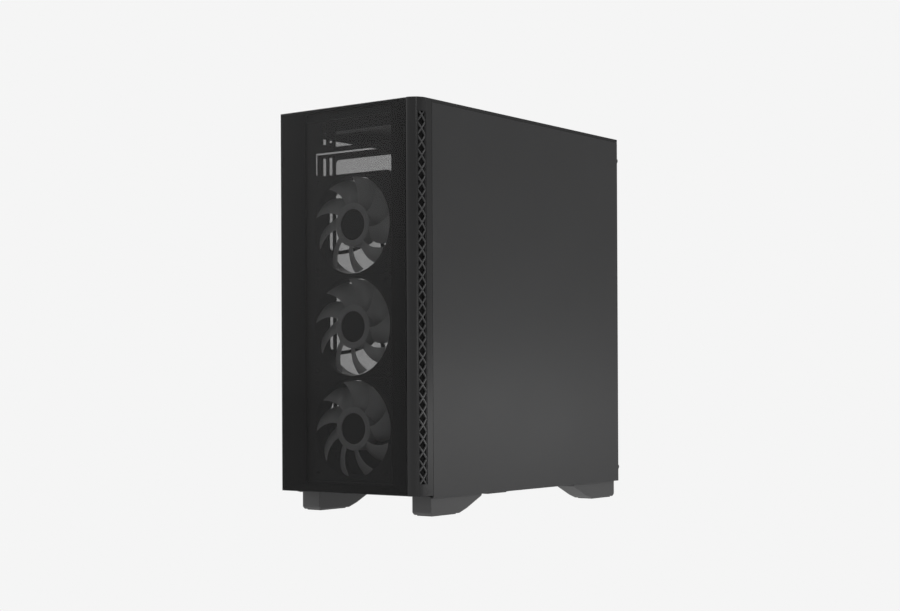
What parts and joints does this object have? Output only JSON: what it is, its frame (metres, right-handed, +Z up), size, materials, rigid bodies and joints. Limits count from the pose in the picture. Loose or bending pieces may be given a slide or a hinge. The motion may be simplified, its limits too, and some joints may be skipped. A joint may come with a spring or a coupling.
{
  "type": "desktop computer tower",
  "caption": "Upright desktop computer case with tinted glass front and side, crossed corner vent, front fans and wedge feet, complete with its working parts inside.",
  "frame": {"origin": "on the floor under the middle of the whole tower", "axes": "+Z up, front towards -Y, plain steel side towards +X, glass side towards -X"},
  "size_m": [0.21, 0.443, 0.4802],
  "materials": {
    "case_steel": "fine matte powder coat",
    "bezel_plastic": "matte",
    "cover_plastic": "matte",
    "front_tint": "tinted, polished",
    "side_tint": "lightly tinted, polished",
    "fan_plastic": "satin",
    "blade_plastic": "frosted, translucent",
    "foot_plastic": "matte",
    "pad_rubber": "matte",
    "screw_steel": "black zinc",
    "bright_steel": "bright zinc",
    "standoff_brass": "turned",
    "circuit_board": "solder mask",
    "connector_plastic": "moulded",
    "fin_aluminium": "mill finish",
    "drive_metal": "cast",
    "filter_mesh": "fine nylon mesh"
  },
  "bodies": {
    "chassis": {"base_plate": "case_steel", "front_plate": "case_steel", "rear_plate": "case_steel", "top_plate": "case_steel", "board_tray": "case_steel", "psu_shroud": "case_steel", "drive_cage": "case_steel", "slot_covers": "case_steel", "psu_case": "case_steel", "top_cover": "cover_plastic", "drive_tray_lower": "cover_plastic", "drive_tray_upper": "cover_plastic", "fan_frame_top": "fan_plastic", "fan_frame_middle": "fan_plastic", "fan_frame_bottom": "fan_plastic", "rear_fan_frame": "fan_plastic", "cooler_fan_frame": "fan_plastic", "graphics_shroud": "fan_plastic", "feet": "foot_plastic", "foot_pads": "pad_rubber", "front_fan_screws": "screw_steel", "rear_fan_screws": "screw_steel", "rear_screws": "screw_steel", "board_screws": "bright_steel", "io_shield": "bright_steel", "board_standoffs": "standoff_brass", "mainboard": "circuit_board", "graphics_board": "circuit_board", "board_parts": "connector_plastic", "port_block": "connector_plastic", "psu_inlet": "connector_plastic", "memory_modules": "connector_plastic", "cooler_heatsink": "fin_aluminium", "hard_drive": "drive_metal", "solid_state_drive": "drive_metal"},
    "bezel": {"bezel_frame": "bezel_plastic", "front_glass": "front_tint", "grille_right": "bezel_plastic", "grille_left": "bezel_plastic", "bezel_studs": "bezel_plastic", "vent_filters": "filter_mesh"},
    "steel_side": {"side_panel": "case_steel", "panel_thumbscrews": "screw_steel"},
    "glass_side": {"side_glass": "side_tint", "glass_frame": "case_steel", "glass_thumbscrews": "screw_steel"},
    "top_filter": {"top_filter_frame": "cover_plastic", "top_filter_mesh": "filter_mesh"},
    "psu_filter": {"psu_filter_frame": "cover_plastic", "psu_filter_mesh": "filter_mesh"},
    "power_key": {"power_button": "cover_plastic"},
    "reset_key": {"reset_button": "cover_plastic"},
    "front_rotor_top": {"fan_rotor_top": "blade_plastic"},
    "front_rotor_middle": {"fan_rotor_middle": "blade_plastic"},
    "front_rotor_bottom": {"fan_rotor_bottom": "blade_plastic"},
    "rear_rotor": {"rear_fan_rotor": "blade_plastic"},
    "cooler_rotor": {"cooler_fan_rotor": "blade_plastic"},
    "graphics_rotor": {"graphics_rotor": "blade_plastic"},
    "psu_rotor": {"psu_rotor": "blade_plastic"},
    "power_rocker": {"psu_switch": "connector_plastic"}
  },
  "joints": [
    {"name": "bezel_pull", "type": "slide", "parent": "chassis", "child": "bezel", "axis": [0, -1, 0], "range_m": [0, 0.06]},
    {"name": "steel_side_slide", "type": "slide", "parent": "chassis", "child": "steel_side", "axis": [0, 1, 0], "range_m": [0, 0.43]},
    {"name": "glass_side_slide", "type": "slide", "parent": "chassis", "child": "glass_side", "axis": [0, 1, 0], "range_m": [0, 0.43]},
    {"name": "top_filter_lift", "type": "slide", "parent": "chassis", "child": "top_filter", "axis": [0, 0, 1], "range_m": [0, 0.05]},
    {"name": "psu_filter_pull", "type": "slide", "parent": "chassis", "child": "psu_filter", "axis": [0, 1, 0], "range_m": [0, 0.19]},
    {"name": "power_press", "type": "slide", "parent": "chassis", "child": "power_key", "axis": [0, 0, -1], "range_m": [0, 0.0015], "stiffness_N_per_m": 250, "springref_m": -0.002},
    {"name": "reset_press", "type": "slide", "parent": "chassis", "child": "reset_key", "axis": [0, 0, -1], "range_m": [0, 0.0015], "stiffness_N_per_m": 200, "springref_m": -0.002},
    {"name": "front_spin_top", "type": "hinge", "parent": "chassis", "child": "front_rotor_top", "pos_m": [0, -0.202, 0.341], "axis": [0, 1, 0], "continuous": true},
    {"name": "front_spin_middle", "type": "hinge", "parent": "chassis", "child": "front_rotor_middle", "pos_m": [0, -0.202, 0.221], "axis": [0, 1, 0], "continuous": true},
    {"name": "front_spin_bottom", "type": "hinge", "parent": "chassis", "child": "front_rotor_bottom", "pos_m": [0, -0.202, 0.101], "axis": [0, 1, 0], "continuous": true},
    {"name": "rear_spin", "type": "hinge", "parent": "chassis", "child": "rear_rotor", "pos_m": [-0.031, 0.2008, 0.4], "axis": [0, 1, 0], "continuous": true},
    {"name": "cooler_spin", "type": "hinge", "parent": "chassis", "child": "cooler_rotor", "pos_m": [-0.02, 0.086, 0.4], "axis": [0, 1, 0], "continuous": true},
    {"name": "graphics_spin", "type": "hinge", "parent": "chassis", "child": "graphics_rotor", "pos_m": [0.011, 0.1255, 0.245], "axis": [0, 0, 1], "continuous": true},
    {"name": "psu_spin", "type": "hinge", "parent": "chassis", "child": "psu_rotor", "pos_m": [0.003, 0.1435, 0.038], "axis": [0, 0, 1], "continuous": true},
    {"name": "rocker_tilt", "type": "hinge", "parent": "chassis", "child": "power_rocker", "pos_m": [0.0445, 0.209, 0.082], "axis": [1, 0, 0], "range_deg": [-14, 0]}
  ]
}
